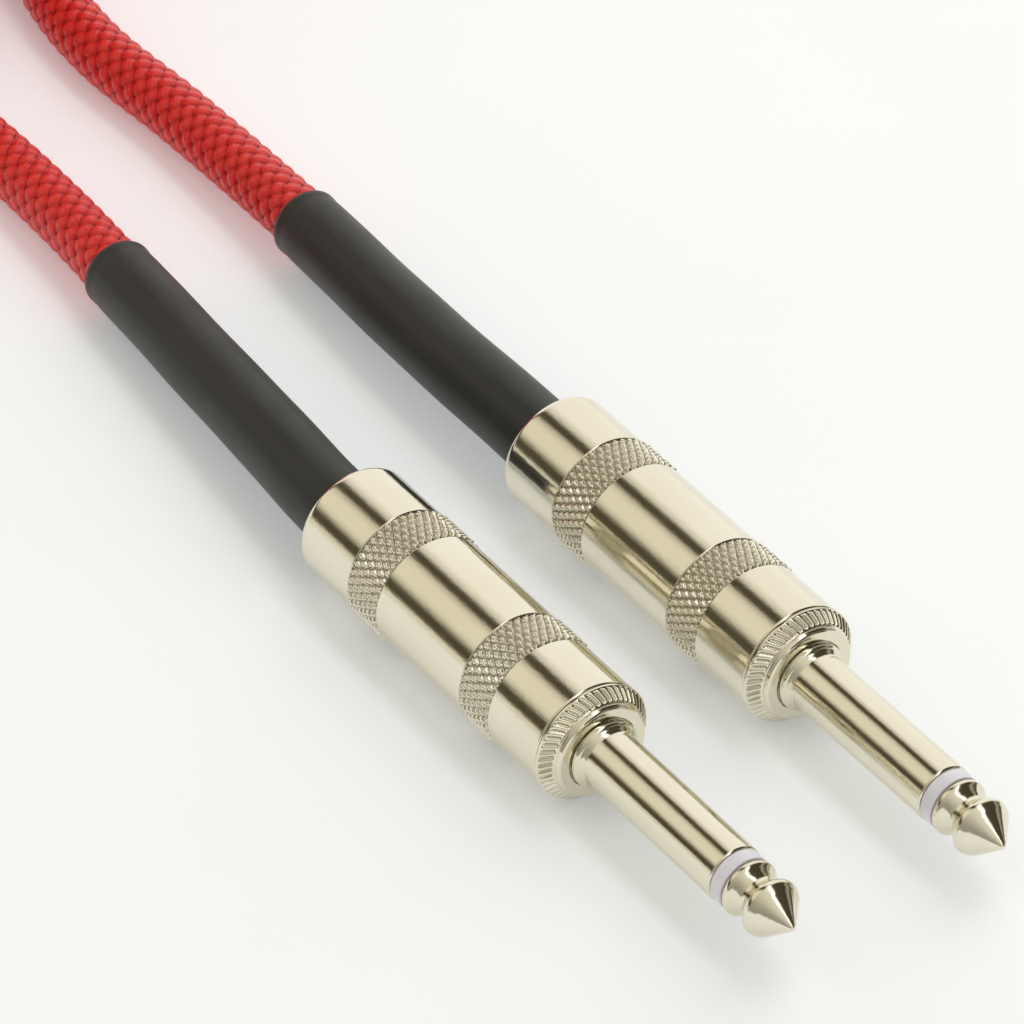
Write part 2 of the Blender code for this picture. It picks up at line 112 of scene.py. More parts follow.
# Cable
CABLE_R = 3.25
HANK_X = 4.0
HANK_FRONT = 148.25
HANK_RUN = 70.0
HANK_R = 22.75
HANK_PINCH = 6.75
HANK_LAYERS = 5
LAYER_RISE = 6.5
HANK_FIRST_HEIGHT = 4.35
HANK_TOP = 33.6
TIE_HALF_LONG = 8.0
TIE_THICK = 1.0
ROUTES = {
    "plug_a": (
        (0.0, 58.0, 6.7),
        (0.0, 70.0, 6.7),
        (0.0, 80.0, 6.7),
        (0.9, 90.5, 6.52),
        (1.95, 103.0, 6.0),
        (3.05, 114.5, 5.45),
        (4.15, 126.0, 4.8),
        (5.1, 137.0, 4.25),
        (5.6, 151.0, 3.65),
        (5.0, 165.0, 3.35),
        (2.76, 176.2, 3.3),
        (-2.65, 187.4, 3.35),
        (-8.06, 198.6, 3.85),
        (-10.315, 209.87, 4.35),
    ),
    "plug_b": (
        (0.0, 58.0, 6.7),
        (-0.05, 70.0, 6.7),
        (-0.05, 82.0, 6.68),
        (0.1, 96.0, 6.38),
        (0.75, 109.0, 5.85),
        (1.75, 123.0, 5.1),
        (2.3, 136.0, 4.32),
        (2.4, 150.0, 3.75),
        (1.9, 164.0, 3.45),
        (3.35, 176.0, 3.3),
        (6.86, 188.1, 3.35),
        (10.36, 200.1, 3.85),
        (11.815, 212.17, 4.35),
    ),
}

# Braid: 8 bundles each way, one over and one under. Fine points where the view shows it, coarse in the hank
BUNDLES = 8
BRAID_PITCH = 2.33
BRAID_DEPTH = 0.70
CROWN_STAND = 0.20
FINE_LENGTH = 58.0
FINE_STEP = BRAID_PITCH / 12
COARSE_STEP = BRAID_PITCH / 4
FINE_AROUND = 96
COARSE_AROUND = 32


def make_camera():
    data = bpy.data.cameras.new("photo_camera")
    data.lens = CAMERA_LENS
    data.sensor_width = 36.0
    data.clip_start = 0.01
    data.clip_end = 50.0
    camera = bpy.data.objects.new("photo_camera", data)
    bpy.context.scene.collection.objects.link(camera)
    right = Vector(CAMERA_RIGHT).normalized()
    up = Vector(CAMERA_UP)
    up = (up - right * up.dot(right)).normalized()
    back = right.cross(up)
    turn = Matrix((right, up, back)).transposed().to_4x4()
    camera.matrix_world = Matrix.Translation(Vector(CAMERA_AT) * MM) @ turn
    bpy.context.scene.camera = camera


# ---------------------------------------------------------------- meshes


def new_mesh(name, points, faces, material, attributes=None):
    """An object from points in mm and lists of equal-sided faces. Attributes hold one number per point."""
    points = points.reshape(-1, 3)
    mesh = bpy.data.meshes.new(name)
    mesh.vertices.add(len(points))
    mesh.vertices.foreach_set("co", (points * MM).astype(np.float32).ravel())
    sides = np.concatenate([np.full(len(group), group.shape[1]) for group in faces])
    corners = np.concatenate([group.ravel() for group in faces]).astype(np.int32)
    mesh.loops.add(len(corners))
    mesh.loops.foreach_set("vertex_index", corners)
    mesh.polygons.add(len(sides))
    starts = np.concatenate([[0], np.cumsum(sides)[:-1]]).astype(np.int32)
    mesh.polygons.foreach_set("loop_start", starts)
    mesh.polygons.foreach_set("use_smooth", np.ones(len(sides), bool))
    for label, values in (attributes or {}).items():
        layer = mesh.attributes.new(label, "FLOAT", "POINT")
        layer.data.foreach_set("value", values.astype(np.float32).ravel())
    mesh.update(calc_edges=True)
    mesh.validate()
    mesh.materials.append(material)
    obj = bpy.data.objects.new(name, mesh)
    bpy.context.scene.collection.objects.link(obj)
    return obj


def grid_faces(rows, columns, first=0, closed=False):
    """Quads of a tube's grid of points, ring after ring. A closed grid's last ring meets its first."""
    index = first + np.arange(rows * columns).reshape(rows, columns)
    ahead = np.roll(index, -1, axis=0) if closed else index[1:]
    here = index if closed else index[:-1]
    return np.stack(
        [here, np.roll(here, -1, axis=1), np.roll(ahead, -1, axis=1), ahead], axis=-1
    ).reshape(-1, 4)


def ring_mesh(name, points, material, attributes=None):
    """An object from a closed grid of points, as rows of points in rings."""
    rows, steps = points.shape[:2]
    return new_mesh(name, points, [grid_faces(rows, steps, closed=True)], material, attributes)


def rounded(outline, size=0.06, parts=4):
    """An outline with its corners rounded, and a point on each side that keeps the flats flat."""
    most_of_side, flat_from = 0.4, 1.15
    points = [np.array(point, float) for point in outline]
    found = [points[0]]
    for before, corner, after in zip(points, points[1:], points[2:]):
        back, on = before - corner, after - corner
        reach = min(size, most_of_side * np.linalg.norm(back), most_of_side * np.linalg.norm(on))
        if reach < 1e-6:
            found.append(corner)
            continue
        start = corner + back / np.linalg.norm(back) * reach
        end = corner + on / np.linalg.norm(on) * reach
        found.append(corner + (start - corner) * flat_from)
        for i in range(parts + 1):
            t = i / parts
            found.append((1 - t) ** 2 * start + 2 * t * (1 - t) * corner + t**2 * end)
        found.append(corner + (end - corner) * flat_from)
    found.append(points[-1])
    return np.array(found)


def rings(plug, along, radius, steps):
    """Points of rings round a plug's axis. Angles run from the top towards +X."""
    x, tip_y = PLUGS[plug]
    angle = np.arange(steps) * TURN / steps
    radius = np.broadcast_to(radius, (len(radius), steps))
    along = np.broadcast_to(along, (len(along), steps))
    return np.stack(
        [x + radius * np.sin(angle), tip_y + along, AXIS_Z + radius * np.cos(angle)], axis=-1
    )


def turned(name, plug, outline, material, steps=96, closed=True):
    """A turned piece from its outline of (along, radius). An open outline starts and ends on the axis."""
    outline = np.array(outline, float)
    if closed:
        return ring_mesh(name, rings(plug, outline[:, :1], outline[:, 1:], steps), material)
    x, tip_y = PLUGS[plug]
    middle = outline[1:-1]
    points = rings(plug, middle[:, :1], middle[:, 1:], steps).reshape(-1, 3)
    poles = [(x, tip_y + outline[i, 0], AXIS_Z) for i in (0, -1)]
    count = len(points)
    points = np.concatenate([points, poles])
    step = np.arange(steps)
    ahead = (step + 1) % steps
    last = (len(middle) - 1) * steps
    front = np.stack([np.full(steps, count), ahead, step], axis=-1)
    rear = np.stack([np.full(steps, count + 1), last + step, last + ahead], axis=-1)
    return new_mesh(name, points, [grid_faces(len(middle), steps), front, rear], material)


def spun(outline, steps):
    """The same outline at every step round the axis."""
    return np.repeat(np.array(outline, float)[:, None], steps, axis=1)


def triangle_wave(value):
    """0 at whole numbers, 1 halfway between."""
    return 1 - np.abs(2 * (value % 1) - 1)


def smooth_step(value):
    """0 up to 0, 1 from 1, and a soft rise between."""
    value = np.clip(value, 0, 1)
    return value * value * (3 - 2 * value)


# ---------------------------------------------------------------- materials


def fill_ramp(node, stops):
    """Sets a colour ramp's stops, each a place from 0 to 1 and a colour."""
    elements = node.color_ramp.elements
    while len(elements) < len(stops):
        elements.new(0.5)
    for element, (place, colour) in zip(elements, stops):
        element.position = place
        element.color = (*colour, 1.0)


class Nodes:
    """A material and short ways to add nodes to it."""

    def __init__(self, name):
        self.material = bpy.data.materials.new(name)
        self.material.use_nodes = True
        self.tree = self.material.node_tree
        self.shader = self.tree.nodes["Principled BSDF"]

    def add(self, kind, **settings):
        node = self.tree.nodes.new(kind)
        for key, value in settings.items():
            setattr(node, key, value)
        return node

    def link(self, source, target):
        self.tree.links.new(source, target)

    def put(self, node, **values):
        for key, value in values.items():
            node.inputs[key.replace("_", " ")].default_value = value

    def stretched(self, scale):
        """Object coordinates in metres, scaled along each axis."""
        coordinates = self.add("ShaderNodeTexCoord")
        mapping = self.add("ShaderNodeMapping")
        mapping.inputs["Scale"].default_value = scale
        self.link(coordinates.outputs["Object"], mapping.inputs["Vector"])
        return mapping.outputs["Vector"]

    def noise(self, scale, detail=3.0, roughness=0.55, vector=None):
        node = self.add("ShaderNodeTexNoise")
        self.put(node, Scale=scale, Detail=detail, Roughness=roughness)
        self.link(vector or self.stretched((1, 1, 1)), node.inputs["Vector"])
        return node.outputs["Fac"]

    def ramp(self, value, stops):
        node = self.add("ShaderNodeValToRGB")
        fill_ramp(node, stops)
        self.link(value, node.inputs["Fac"])
        return node.outputs["Color"]

    def mixed(self, share, first, second):
        """The first colour turning into the second as the share goes from 0 to 1."""
        node = self.add("ShaderNodeMix", data_type="RGBA")
        colour_in = [socket for socket in node.inputs if socket.type == "RGBA"]
        colour_in[1].default_value = (*second, 1.0)
        self.link(share, node.inputs["Factor"])
        self.link(first, colour_in[0])
        return next(socket for socket in node.outputs if socket.type == "RGBA")

    def spread(self, value, low, high, start=0.3, end=0.7):
        node = self.add("ShaderNodeMapRange")
        for i, number in enumerate((start, end, low, high), start=1):
            node.inputs[i].default_value = number
        self.link(value, node.inputs[0])
        return node.outputs[0]

    def bump(self, height, distance, strength=1.0, normal=None):
        node = self.add("ShaderNodeBump")
        self.put(node, Strength=strength, Distance=distance)
        self.link(height, node.inputs["Height"])
        if normal:
            self.link(normal, node.inputs["Normal"])
        return node.outputs["Normal"]

    def finish(self, colour=None, roughness=None, normal=None):
        sources = ((colour, "Base Color"), (roughness, "Roughness"), (normal, "Normal"))
        for source, socket in sources:
            if source:
                self.link(source, self.shader.inputs[socket])
        return self.material


def nickel_material():
    """Warm polished nickel plate: faint tone changes, orange peel, lengthwise polishing, and painted shade in
    the grooves.
    """
    # Painted shade: the dark tone that the knurl's and the teeth's grooves are darkened towards.
    groove_shade_colour = (0.20, 0.18, 0.12)
    n = Nodes("warm_nickel")
    n.put(n.shader, Metallic=1.0)
    tone = n.ramp(
        n.noise(90.0, 4.0),
        [(0.3, (0.775, 0.73, 0.575)), (0.7, (0.815, 0.775, 0.635))],
    )
    # Painted shade: a per-point share that darkens the colour in the grooves.
    groove_shade = n.add("ShaderNodeAttribute", attribute_name="groove_shade").outputs["Fac"]
    tone = n.mixed(groove_shade, tone, groove_shade_colour)
    polish = n.noise(1.0, 4.0, vector=n.stretched((9000, 500, 9000)))
    roughness = n.spread(polish, 0.055, 0.15)
    grain = n.bump(n.noise(5200.0, 2.0), 0.0000050)
    dents = n.bump(n.noise(1.0, 3.0, vector=n.stretched((1700, 900, 1700))), 0.000007, normal=grain)
    return n.finish(tone, roughness, dents)


def white_plastic_material():
    n = Nodes("moulded_white")
    n.put(n.shader, Subsurface_Weight=0.12, Subsurface_Scale=0.0006)
    tone = n.ramp(n.noise(400.0, 3.0), [(0.3, (0.76, 0.745, 0.83)), (0.7, (0.84, 0.825, 0.90))])
    marks = n.noise(1.0, 3.0, vector=n.stretched((600, 9000, 600)))
    return n.finish(tone, n.spread(marks, 0.22, 0.38), n.bump(marks, 0.000006))


def shrink_material():
    """Matte heat-shrink sleeve with a fine rubbery grain and faint rubbed patches."""
    n = Nodes("matte_shrink")
    n.put(n.shader, Sheen_Weight=0.13, Sheen_Roughness=0.45, IOR=1.45)
    n.shader.inputs["Sheen Tint"].default_value = (0.75, 0.76, 0.70, 1.0)
    patches = n.noise(130.0, 5.0)
    tone = n.ramp(patches, [(0.3, (0.017, 0.016, 0.0145)), (0.7, (0.026, 0.0245, 0.022))])
    grain = n.noise(7000.0, 3.0)
    lengthwise = n.noise(1.0, 3.0, vector=n.stretched((1500, 60, 1500)))
    normal = n.bump(lengthwise, 0.00005, 0.5, n.bump(grain, 0.000010))
    return n.finish(tone, n.spread(patches, 0.42, 0.58), normal)


def braid_material():
    """Glossy red yarn with the yarns' own lines: painted shade in the gaps and a painted highlight on top of
    each float.
    """
    yarns_per_bundle = 4
    n = Nodes("red_braid")
    n.put(n.shader, Sheen_Weight=0.04, Sheen_Roughness=0.35, Specular_IOR_Level=0.36)
    n.shader.inputs["Sheen Tint"].default_value = (1.0, 0.55, 0.52, 1.0)
    height = n.add("ShaderNodeAttribute", attribute_name="braid_height").outputs["Fac"]
    across = n.add("ShaderNodeAttribute", attribute_name="braid_across").outputs["Fac"]
    yarns = n.add("ShaderNodeMath", operation="SINE")
    scaled = n.add("ShaderNodeMath", operation="MULTIPLY")
    scaled.inputs[1].default_value = TURN * yarns_per_bundle
    n.link(across, scaled.inputs[0])
    n.link(scaled.outputs[0], yarns.inputs[0])
    # Painted light: the colour runs from painted shade in the gaps to a painted highlight on the float tops.
    tone = n.ramp(
        height,
        [
            (0.0, (0.17, 0.001, 0.002)),
            (0.45, (0.34, 0.003, 0.004)),
            (0.72, (0.60, 0.010, 0.009)),
            (1.0, (0.82, 0.045, 0.036)),
        ],
    )
    fibres = n.noise(5000.0, 3.0)
    normal = n.bump(fibres, 0.00003, 0.7, n.bump(yarns.outputs[0], 0.000012))
    return n.finish(tone, n.spread(fibres, 0.22, 0.36), normal)


def metal_material(name, dark, light, roughness, grain_scale, stretch=(1, 1, 1)):
    n = Nodes(name)
    n.put(n.shader, Metallic=1.0)
    grain = n.noise(grain_scale, 4.0, vector=n.stretched(stretch))
    tone = n.ramp(grain, [(0.3, dark), (0.7, light)])
    return n.finish(tone, n.spread(grain, *roughness), n.bump(grain, 0.00002, 0.6))


def dull_material(name, dark, light, roughness, grain_scale, depth, stretch=(1, 1, 1)):
    n = Nodes(name)
    grain = n.noise(grain_scale, 5.0, 0.65, vector=n.stretched(stretch))
    tone = n.ramp(grain, [(0.3, dark), (0.7, light)])
    return n.finish(tone, n.spread(grain, *roughness), n.bump(grain, depth))


def floor_material():
    """Pale matte paper. Its faint glow fills the shadows."""
    n = Nodes("pale_floor")
    n.put(n.shader, Emission_Strength=0.24, Specular_IOR_Level=0.0, Roughness=0.9)
    n.shader.inputs["Emission Color"].default_value = (0.86, 0.92, 1.0, 1.0)
    grain = n.noise(30.0, 2.0)
    tone = n.ramp(grain, [(0.3, (0.855, 0.86, 0.87)), (0.7, (0.87, 0.875, 0.885))])
    return n.finish(tone)


# ---------------------------------------------------------------- cable


def to_row(plug, point):
    """A route's point, from beside its plug to the row frame."""
    x, tip_y = PLUGS[plug]
    return np.array((x + point[0], tip_y + point[1], point[2]))


def smooth_line(knots, spacing):
    """Points about `spacing` apart on the smooth curve through the knots."""
    knots = [np.array(knot, float) for knot in knots]
    knots = [2 * knots[0] - knots[1], *knots, 2 * knots[-1] - knots[-2]]
    found = []
    for a, b, c, d in zip(knots, knots[1:], knots[2:], knots[3:]):
        parts = max(1, round(float(np.linalg.norm(c - b)) / spacing))
        t = (np.arange(parts) / parts)[:, None]
        found.append(
            b * (2 * t**3 - 3 * t**2 + 1)
            + (c - a) / 2 * (t**3 - 2 * t**2 + t)
            + c * (3 * t**2 - 2 * t**3)
            + (d - b) / 2 * (t**3 - t**2)
        )
    return np.concatenate([*found, knots[-2][None]])


def lengths_along(points):
    steps = np.linalg.norm(np.diff(points, axis=0), axis=1)
    return np.concatenate([[0], np.cumsum(steps)])


def resampled(points, distances):
    at = lengths_along(points)
    return np.stack([np.interp(distances, at, points[:, i]) for i in range(3)], axis=-1)


def hank_half_width(along):
    """Distance from the hank's middle line to the middle of a leg, less under the tie."""
    away = abs(along - HANK_RUN / 2)
    share = min(1.0, max(0.0, (away - TIE_HALF_LONG) / (HANK_RUN / 2 - TIE_HALF_LONG)))
    return HANK_R - HANK_PINCH * (1 + math.cos(math.pi * share)) / 2


def hank_knots():
    """Turns of the hank, clockwise from above. They climb in the outer row and come down in the inner one.

    Each turn is four stages: left leg, rear bend, right leg, front bend. Layers change on the right leg.
    """
    stages = 4 * (2 * HANK_LAYERS - 1) - 1
    climbs = [4 * k + 2 for k in range(HANK_LAYERS - 1)]
    crossing = 4 * (HANK_LAYERS - 1) + 2
    drops = [crossing + 4 * (k + 1) for k in range(HANK_LAYERS - 1)]
    half_row = LAYER_RISE / 2
    per_stage = 10
    knots = []
    for i in range(stages * per_stage + 1):
        at = i / per_stage
        level = sum(smooth_step(at - start) for start in climbs) - sum(
            smooth_step(at - start) for start in drops
        )
        offset = half_row - LAYER_RISE * smooth_step(at - crossing)
        stage = min(int(at), stages - 1)
        share = at - stage
        radius = HANK_R + offset
        if stage % 4 == 0:
            along = HANK_RUN * share
            across = -hank_half_width(along) - offset
        elif stage % 4 == 1:
            across = -radius * math.cos(math.pi * share)
            along = HANK_RUN + radius * math.sin(math.pi * share)
        elif stage % 4 == 2:
            along = HANK_RUN * (1 - share)
            across = hank_half_width(along) + offset
        else:
            across = radius * math.cos(math.pi * share)
            along = -radius * math.sin(math.pi * share)
        height = HANK_FIRST_HEIGHT + LAYER_RISE * float(level)
        knots.append((HANK_X + float(across), HANK_FRONT + float(along), height))
    return knots


def cord_line():
    """Centre line from plug A's sleeve through the hank to plug B's sleeve."""
    ends = {}
    inside_sleeve = 0.6
    clear_of_start = 0.5
    for plug, route in ROUTES.items():
        start = SHRINK_TO[plug] - inside_sleeve
        line = smooth_line(route, 1.0)
        after = line[line[:, 1] > start + clear_of_start]
        before = line[line[:, 1] <= start + clear_of_start][-1]
        share = (start - before[1]) / (after[0][1] - before[1])
        ends[plug] = [to_row(plug, p) for p in (before + (after[0] - before) * share, *after)]
    # Every fourth point is a knot, and each end's last points make way for the hank's own
    every, make_way = 4, 5
    knots = [
        *ends["plug_a"][:-make_way:every],
        *hank_knots(),
        *ends["plug_b"][-make_way::-every],
    ]
    if not np.allclose(knots[-1], ends["plug_b"][0]):
        knots.append(ends["plug_b"][0])
    return smooth_line(knots, 0.25)


def tube_frames(points):
    """Sideways and upward directions of a line that never runs straight up."""
    tangents = np.gradient(points, axis=0)
    tangents /= np.linalg.norm(tangents, axis=1)[:, None]
    side = np.cross(tangents, (0, 0, 1))
    side /= np.linalg.norm(side, axis=1)[:, None]
    return side, np.cross(side, tangents)


def tube_rings(points, radius, steps):
    """Rings round a line. Angles run from the top to the right of the way the line goes."""
    side, up = tube_frames(points)
    angle = np.arange(steps) * TURN / steps
    radius = np.broadcast_to(radius, (len(points), steps))[..., None]
    outward = side[:, None] * np.sin(angle)[:, None] + up[:, None] * np.cos(angle)[:, None]
    return points[:, None] + radius * outward


def braid_surface(distances, steps):
    """Height of the braid from 0 to 1, and the place across the bundle on top, at each ring and step."""
    crown_width = 1.92  # the larger, the narrower a bundle's round top
    along = (distances / BRAID_PITCH)[:, None]
    around = (BUNDLES * np.arange(steps) / steps)[None]
    heights, places = [], []
    for first, second, parity in (
        (around + along, around - along, 0),
        (around - along, around + along, 1),
    ):
        bundle = np.round(first)
        place = first - bundle
        crown = np.sqrt(np.clip(1 - (crown_width * place) ** 2, 0, 1))
        lift = 0.5 + 0.5 * np.cos(TURN * (bundle + second - parity) / 2)
        heights.append(0.50 * lift + 0.50 * crown)
        places.append(place)
    top = heights[0] >= heights[1]
    return np.where(top, *heights), np.where(top, *places)


def cord_mesh(line, total, material):
    """The whole braided cord: a fine stretch at each end, a coarse one through the hank, and closed ends."""
    fine_rows = round(FINE_LENGTH / FINE_STEP)
    fine_to = fine_rows * FINE_STEP
    coarse_rows = int((total - 2 * fine_to) / COARSE_STEP)
    coarse_to = fine_to + coarse_rows * COARSE_STEP
    stretches = (
        (np.arange(fine_rows + 1) * FINE_STEP, FINE_AROUND),
        (fine_to + np.arange(1, coarse_rows) * COARSE_STEP, COARSE_AROUND),
        (np.arange(coarse_to, total, FINE_STEP), FINE_AROUND),
    )
    points, faces, heights, places = [], [], [], []
    first_rings, last_rings = [], []
    count = 0
    for distances, steps in stretches:
        height, place = braid_surface(distances, steps)
        centre = resampled(line, distances)
        ring = tube_rings(centre, CABLE_R + CROWN_STAND - BRAID_DEPTH * (1 - height), steps)
        points.append(ring.reshape(-1, 3))
        heights.append(height.ravel())
        places.append(place.ravel())
        faces.append(grid_faces(len(distances), steps, count))
        first_rings.append(count)
        count += len(distances) * steps
        last_rings.append(count - steps)

    # A fine ring meets a coarse one with faces that have several points on the fine side
    share = FINE_AROUND // COARSE_AROUND
    step = np.arange(COARSE_AROUND)
    ahead = (step + 1) % COARSE_AROUND
    fine_side = [(step * share + i) % FINE_AROUND for i in range(share + 1)]
    front, rear = last_rings[0], first_rings[1]
    bridge = [front + s for s in fine_side] + [rear + ahead, rear + step]
    faces.append(np.stack(bridge, axis=-1))
    front, rear = last_rings[1], first_rings[2]
    bridge = [front + step, front + ahead] + [rear + s for s in fine_side[::-1]]
    faces.append(np.stack(bridge, axis=-1))
    end = np.arange(FINE_AROUND)[None]
    faces += [end[:, ::-1], last_rings[2] + end]
    return new_mesh(
        "instrument_cord",
        np.concatenate(points),
        faces,
        material,
        {"braid_height": np.concatenate(heights), "braid_across": np.concatenate(places)},
    )


def make_cord(material, tie):
    line = cord_line()
    total = lengths_along(line)[-1]
    cord = cord_mesh(line, total, material)
    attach(cord, "cable")
    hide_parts("cord_a", "cord_b", "cord_hank")


def tie_section():
    """The strap's section, as depths from its inner face and places along the hank: round edges and ribs."""
    half = TIE_HALF_LONG - 0.15
    inner_edge, outer_edge, edge_bulge = 0.35, 0.75, 0.06
    thick, shoulder = 0.94, 0.7
    ribbed_rows, row_step, rows_per_rib = 43, 0.32, 4
    rib_middle, rib_depth, ribs_from = 0.9, 0.06, 1.2
    section = [
        (0.0, -half),
        (0.0, half),
        (inner_edge, half + edge_bulge),
        (outer_edge, half),
        (thick, half - shoulder),
    ]
    for k in range(1, ribbed_rows + 1):
        depth = rib_middle + rib_depth * math.cos(TURN * k / rows_per_rib)
        section.append((depth, half - ribs_from - k * row_step))
    section += [
        (thick, -half + shoulder),
        (outer_edge, -half),
        (inner_edge, -half - edge_bulge),
    ]
    return np.array(section).T


def make_tie(material):
    """Woven strap round the middle of the hank."""
    clearance = 0.12
    leg_outside = LAYER_RISE / 2 + CABLE_R
    half_wide = hank_half_width(HANK_RUN / 2) + leg_outside + clearance
    low, high = TIE_THICK, HANK_TOP + clearance
    corner, spacing = 1.9, 0.7
    corners = ((1, 1, 0), (-1, 1, 90), (-1, -1, 180), (1, -1, 270))
    contour, normals = [], []
    for side_x, side_z, start in corners:
        for angle in np.radians(np.linspace(start, start + 90, 8)):
            outward = np.array((math.cos(angle), math.sin(angle)))
            z = high - corner if side_z > 0 else low + corner
            contour.append(np.array((side_x * (half_wide - corner), z)) + corner * outward)
            normals.append(outward)
    contour, normals = (np.array([*values, values[0]]) for values in (contour, normals))
    at = lengths_along(contour)
    steps = round(at[-1] / spacing)
    where = np.linspace(0, at[-1], steps, endpoint=False)
    path, out = (
        np.stack([np.interp(where, at, values[:, i]) for i in range(2)], axis=-1)
        for values in (contour, normals)
    )
    out /= np.linalg.norm(out, axis=1)[:, None]
    depth, along = tie_section()
    place = path[:, None] + out[:, None] * depth[:, None]
    across, up = place[..., 0], place[..., 1]
    middle = HANK_FRONT + HANK_RUN / 2
    points = np.stack([HANK_X + across, np.broadcast_to(middle + along, across.shape), up], axis=-1)
    tie = ring_mesh("hank_tie_strap", points, material)
    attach(tie, "cable")
    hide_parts("hank_tie")
    return tie


# ---------------------------------------------------------------- plugs


def placed(obj, body, slot, *nodes):
    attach(obj, body)
    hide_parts(*nodes)
    return obj


def arc(along, radius, size, start, end, parts=10):
    """Points on a round edge about (along, radius). Angles in degrees: 0 is outwards, 90 is to the rear."""
    angles = np.radians(np.linspace(start, end, parts + 1))
    return [(along + size * math.sin(a), radius + size * math.cos(a)) for a in angles]


def make_tip(plug, material):
    """Pointed tip contact with its broad rim, deep neck and rear flange, and the rod behind it."""
    neck = [
        (4.75, 2.56),
        (5.0, 2.27),
        (5.22, 2.14),
        (NECK_AT, NECK_R),
        (5.78, 2.13),
        (6.02, 2.25),
        (6.28, 2.5),
    ]
    head = [
        (0.0, 0.0),
        (0.012, 0.12),
        (0.06, 0.25),
        (0.15, 0.36),
        (0.32, 0.52),
        (1.2, 1.33),
        (2.1, 2.16),
        (2.62, 2.64),
        (2.9, 2.88),
        *arc(3.7, PIN_R - 0.8, 0.8, -42, 48),
        *neck,
        *arc(7.05, PIN_R - 0.64, 0.58, -52, 60),
    ]
    tail = [
        (TIP_FLANGE_TO, PIN_R - 0.42),
        (TIP_FLANGE_TO, ROD_R),
        (RIVET_FROM, ROD_R),
        (RIVET_FROM, 2.0),
        (RIVET_FROM + 0.45, 1.9),
        (RIVET_FROM + 0.8, 1.2),
        (RIVET_FROM + 0.8, 0.0),
    ]
    outline = np.concatenate([head, rounded(tail)])
    tip = turned(f"{plug}_tip_polished", plug, outline, material, 128, closed=False)
    return placed(tip, "cable", "nickel", f"{plug}_tip")


def make_tip_ring(plug, material):
    outline = [
        (SHAFT_FROM - 0.1, TUBE_R),
        (SHAFT_FROM + 2.4, TUBE_R),
        (SHAFT_FROM + 2.4, TUBE_BORE_R),
        (TIP_FLANGE_TO + 0.1, TUBE_BORE_R),
        (TIP_FLANGE_TO + 0.1, PIN_R - 0.14),
        (TIP_FLANGE_TO + 0.9, PIN_R - 0.10),
        (SHAFT_FROM - 0.1, PIN_R - 0.12),
        (SHAFT_FROM - 0.1, TUBE_R),
    ]
    # The outline runs rear to front inside, then front to rear outside.
    ring = turned(f"{plug}_tip_ring_moulded", plug, rounded(outline, 0.1)[:-1], material, 96)
    return placed(ring, "cable", "white_plastic", f"{plug}_tip_ring")


def make_shaft(plug, material):
    """Pin wall with its bead flaring at the root, and the spigot inside the collar."""
    wall = [
        (SHAFT_FROM, SHAFT_BORE_R),
        (SHAFT_FROM, PIN_R - 0.16),
        (SHAFT_FROM + 0.16, PIN_R),
        (BEAD_FROM - 0.4, PIN_R),
    ]
    bead = [
        (BEAD_FROM - 0.15, PIN_R + 0.015),
        (BEAD_FROM + 0.05, PIN_R + 0.07),
        (BEAD_FROM + 0.22, PIN_R + 0.20),
        (BEAD_FROM + 0.34, PIN_R + 0.36),
        *arc(BEAD_FROM + 0.92, BEAD_R - 0.46, 0.46, -70, 0),
    ]
    spigot = [
        (RECESS_TO - 0.1, BEAD_R),
        (RECESS_TO - 0.1, SPIGOT_R),
        (COLLAR_TO - 1.2, SPIGOT_R),
        (COLLAR_TO - 1.2, SHAFT_BORE_R),
        (SHAFT_FROM, SHAFT_BORE_R),
    ]
    outline = np.concatenate([rounded(wall), bead, rounded(spigot)[:-1]])
    shaft = turned(f"{plug}_shaft_polished", plug, outline, material, 128)
    return placed(shaft, "cable", "nickel", f"{plug}_shaft")


def thread_rows(start, end, rows, radius, depth, angle):
    """Rows of a screw thread that fades at its ends. Depth is positive in a hole and negative on a rod."""
    fade_length, crest_flat = 0.5, 1.25
    along = np.linspace(start, end, rows)[:, None]
    wave = triangle_wave(along / THREAD_PITCH + angle / TURN)
    from_end = np.minimum(along - min(start, end), max(start, end) - along)
    fade = np.clip(from_end / fade_length, 0, 1)
    height = 1 - (1 - np.clip(crest_flat * wave, 0, 1)) * fade
    surface = radius + depth * (1 - height)
    return np.stack([np.broadcast_to(along, surface.shape), surface], axis=-1)


def serrated_bevel(angle):
    """Rows of the collar's bevel with its slanting teeth, and the painted shade of the grooves at each point.
    """
    rows = 15
    lean = 0.9  # teeth crossed between the face and the rim
    rise = 0.62  # a tooth's long flank, as a share of the tooth
    depth, level = 0.34, 0.78  # level: the part of a tooth's height that lies on the bevel itself
    faded = 0.14  # share of the bevel, at each edge, where the teeth fade
    dark, shade_to = 0.85, 0.22  # the first, how dark the painted shade in a groove gets; the second, the tooth's height where that painted shade ends
    share = np.linspace(0, 1, rows)[:, None]
    along = TEETH_FROM + (RIM_FROM - TEETH_FROM) * share
    radius = TEETH_R + (RIM_R - 0.06 - TEETH_R) * share
    phase = (angle * TEETH / TURN + lean * share) % 1
    tooth = np.where(phase < rise, phase / rise, (1 - phase) / (1 - rise))
    tooth = 1 - (1 - tooth) ** 2
    ends = smooth_step(np.minimum(share, 1 - share) / faded)
    height = depth * (tooth - level) * ends
    # Painted shade: the colour darkens in the grooves between the teeth.
    groove_shade = dark * ends * smooth_step(1 - tooth / shade_to)
    slope = math.sqrt(0.5)
    return np.stack([along - height * slope, radius + height * slope], axis=-1), groove_shade


